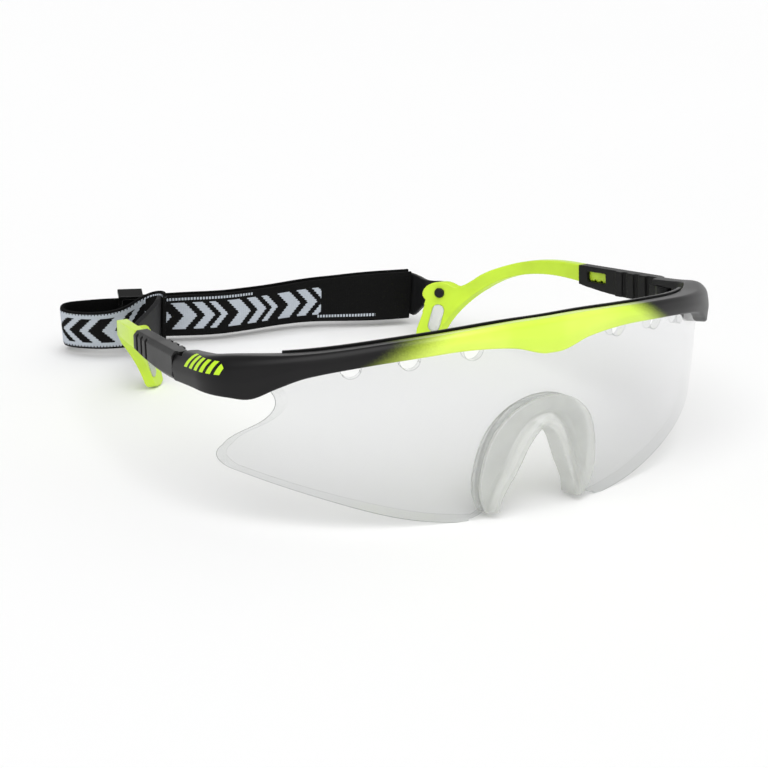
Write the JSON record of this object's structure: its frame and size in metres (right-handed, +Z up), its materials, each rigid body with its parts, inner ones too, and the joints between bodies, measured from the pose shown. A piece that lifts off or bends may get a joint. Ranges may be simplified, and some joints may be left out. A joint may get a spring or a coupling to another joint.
{
  "type": "sports protective goggles",
  "caption": "Wrap-round clear shield goggles with brow frame, saddle nose pad, folding telescoping temples and an adjustable woven elastic head strap.",
  "frame": {"origin": "centre of the bounding box in plan, on the table the goggles stand on (lens lobes and temple tips down)", "axes": "+Z up, -Y the way the lens faces, +X to the wearer's left"},
  "size_m": [0.1556, 0.1619, 0.0508],
  "materials": {
    "clear_lens": "clear polished polycarbonate",
    "clear_silicone": "translucent frosted silicone",
    "fade_paint": "neon yellow-green centre fading to satin black ends",
    "black_plastic": "satin moulded nylon",
    "neon_plastic": "smooth moulded nylon",
    "gloss_black": "smooth acetal",
    "black_rubber": "smooth soft rubber",
    "woven_elastic": "jacquard woven elastic, pale grey figure on black",
    "steel": "plain"
  },
  "bodies": {
    "front": {"front_frame": "fade_paint", "lens": "clear_lens", "nose_pad": "clear_silicone", "brow_bar": "black_plastic", "left_hinge_screw": "steel", "right_hinge_screw": "steel", "strap_long_layer": "woven_elastic", "strap_return_layer": "woven_elastic"},
    "slider": {"strap_slider": "gloss_black"},
    "left_sleeve": {"left_temple_sleeve": "black_plastic"},
    "left_arm": {"left_temple_arm": "neon_plastic", "left_tip_insert": "clear_silicone"},
    "left_tab": {"left_strap_tab": "black_rubber"},
    "right_sleeve": {"right_temple_sleeve": "black_plastic"},
    "right_arm": {"right_temple_arm": "neon_plastic", "right_tip_insert": "clear_silicone"},
    "right_tab": {"right_strap_tab": "black_rubber"}
  },
  "joints": [
    {"name": "left_temple_fold", "type": "hinge", "parent": "front", "child": "left_sleeve", "pos_m": [0.0733, -0.03567, 0.03519], "axis": [0, 0.1429, 0.9897], "range_deg": [0, 80], "deforming": ["strap_long_layer", "strap_return_layer"]},
    {"name": "left_arm_extend", "type": "slide", "parent": "left_sleeve", "child": "left_arm", "axis": [-0.1355, 0.9806, -0.1416], "range_m": [0, 0.01], "deforming": ["strap_long_layer", "strap_return_layer"]},
    {"name": "left_tab_swivel", "type": "hinge", "parent": "left_arm", "child": "left_tab", "pos_m": [0.05031, 0.04019, 0.01515], "axis": [0.6845, 0.7215, -0.1042], "range_deg": [-12, 12], "deforming": ["strap_long_layer", "strap_return_layer"]},
    {"name": "right_temple_fold", "type": "hinge", "parent": "front", "child": "right_sleeve", "pos_m": [-0.0733, -0.03567, 0.03519], "axis": [0, -0.1429, -0.9897], "range_deg": [0, 68], "deforming": ["strap_long_layer", "strap_return_layer"]},
    {"name": "right_arm_extend", "type": "slide", "parent": "right_sleeve", "child": "right_arm", "axis": [0.1355, 0.9806, -0.1416], "range_m": [0, 0.01], "deforming": ["strap_long_layer", "strap_return_layer"]},
    {"name": "right_tab_swivel", "type": "hinge", "parent": "right_arm", "child": "right_tab", "pos_m": [-0.05031, 0.04019, 0.01515], "axis": [-0.6845, 0.7215, -0.1042], "range_deg": [-12, 12], "deforming": ["strap_long_layer", "strap_return_layer"]},
    {"name": "slider_travel", "type": "slide", "parent": "front", "child": "slider", "axis": [0.9522, -0.3055, 0], "range_m": [0, 0.022], "deforming": ["strap_long_layer", "strap_return_layer"]}
  ]
}
